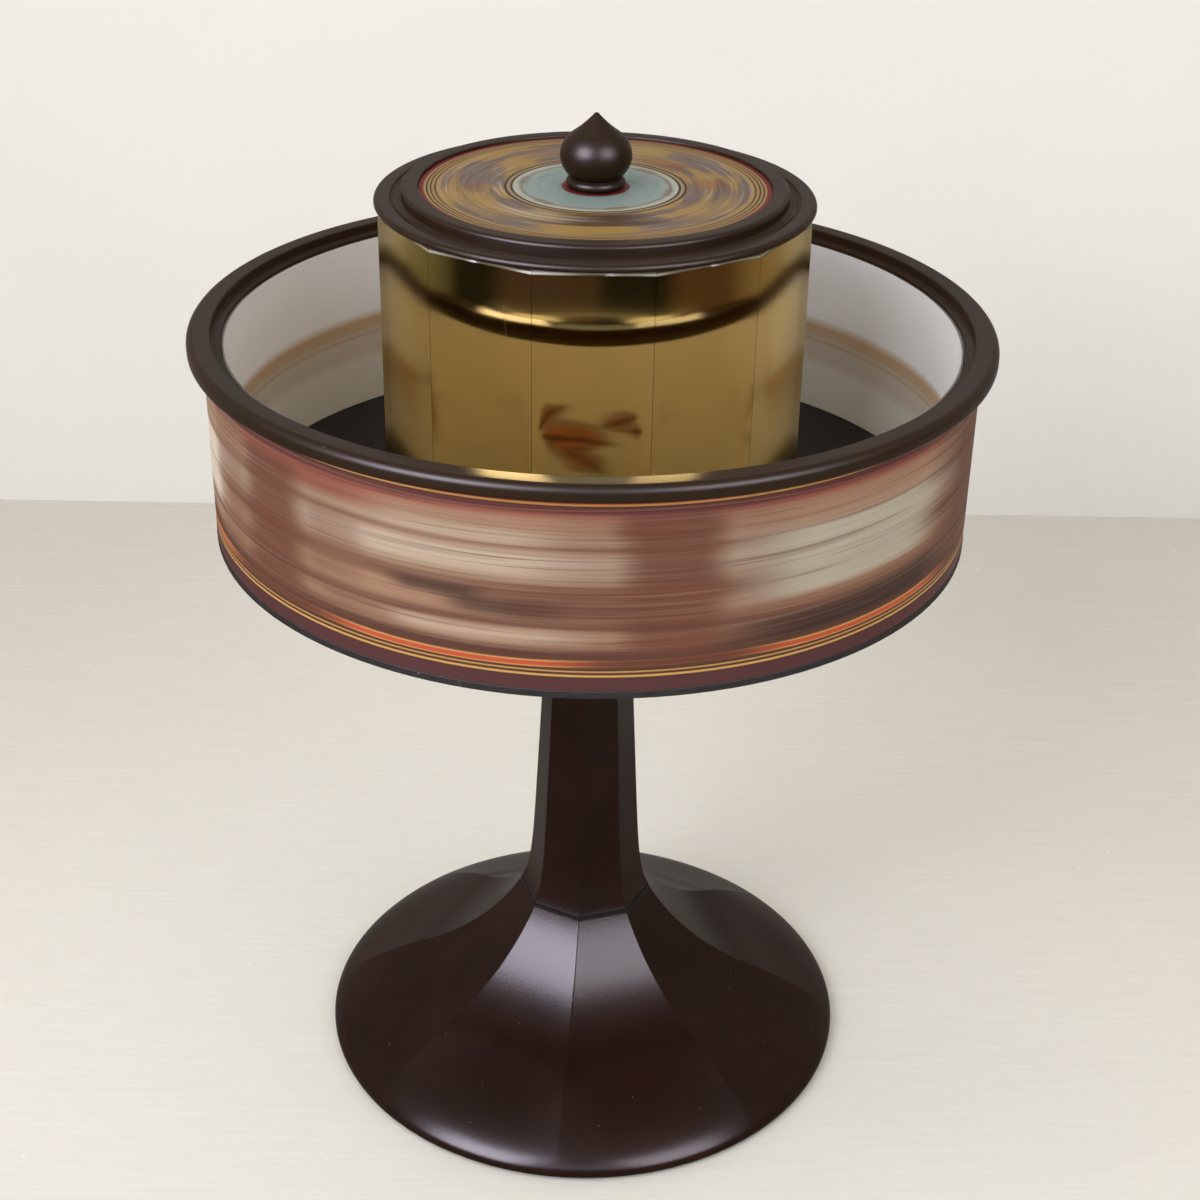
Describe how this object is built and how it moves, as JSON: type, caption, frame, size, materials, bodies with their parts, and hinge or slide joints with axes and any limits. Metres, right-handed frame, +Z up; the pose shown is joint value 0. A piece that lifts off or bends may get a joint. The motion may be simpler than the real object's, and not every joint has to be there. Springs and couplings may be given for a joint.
{
  "type": "praxinoscope",
  "caption": "Praxinoscope: an open drum lined with a picture strip spins round a faceted column of flat mirrors, on a faceted stand that flares into a round foot.",
  "frame": {"origin": "centre of the underside, on the table, on the drum's axis", "axes": "+Z up along the drum's axis, -Y towards the front, where a corner of the stand's octagon points"},
  "size_m": [0.23, 0.23, 0.3095],
  "materials": {
    "moulding": "semi-gloss, dark brown, with a fine orange peel on the stand",
    "felt": "black felt",
    "plate": "matt black",
    "steel": "bright zinc",
    "hub_metal": "turned",
    "bronze": "sintered bronze",
    "floor_board": "matt black-brown",
    "wood": "bare",
    "print": "satin print in browns, cream and gold",
    "lining": "matt white",
    "strip_card": "matt white with printed pictures",
    "gold_mirror": "polished, gold tinted"
  },
  "bodies": {
    "stand": {"felt_pad": "felt", "base_plate": "plate", "plate_screws": "steel", "foot": "moulding", "column": "moulding", "spindle": "steel", "base_washer": "steel", "base_nut": "steel", "column_washer": "steel", "column_nut": "steel"},
    "drum": {"hub": "hub_metal", "hub_screws": "steel", "lower_bush": "bronze", "upper_bush": "bronze", "pivot_ball": "steel", "drum_floor": "floor_board", "drum_wall": "wood", "wall_print": "print", "wall_lining": "lining", "rim": "moulding", "core_base": "wood", "core_sides": "wood", "core_top": "wood", "mirror_01": "gold_mirror", "mirror_02": "gold_mirror", "mirror_03": "gold_mirror", "mirror_04": "gold_mirror", "mirror_05": "gold_mirror", "mirror_06": "gold_mirror", "mirror_07": "gold_mirror", "mirror_08": "gold_mirror", "mirror_09": "gold_mirror", "mirror_10": "gold_mirror", "mirror_11": "gold_mirror", "mirror_12": "gold_mirror", "lid": "moulding", "lid_print": "print", "knob_stud": "steel", "knob_washer": "steel", "knob_nut": "steel", "knob": "moulding"},
    "strip": {"picture_strip": "strip_card"}
  },
  "joints": [
    {"name": "drum_spin", "type": "hinge", "parent": "stand", "child": "drum", "pos_m": [0, 0, 0.2637], "axis": [0, 0, 1], "continuous": true},
    {"name": "strip_lift", "type": "slide", "parent": "drum", "child": "strip", "axis": [0, 0, 1], "range_m": [0, 0.12]}
  ]
}
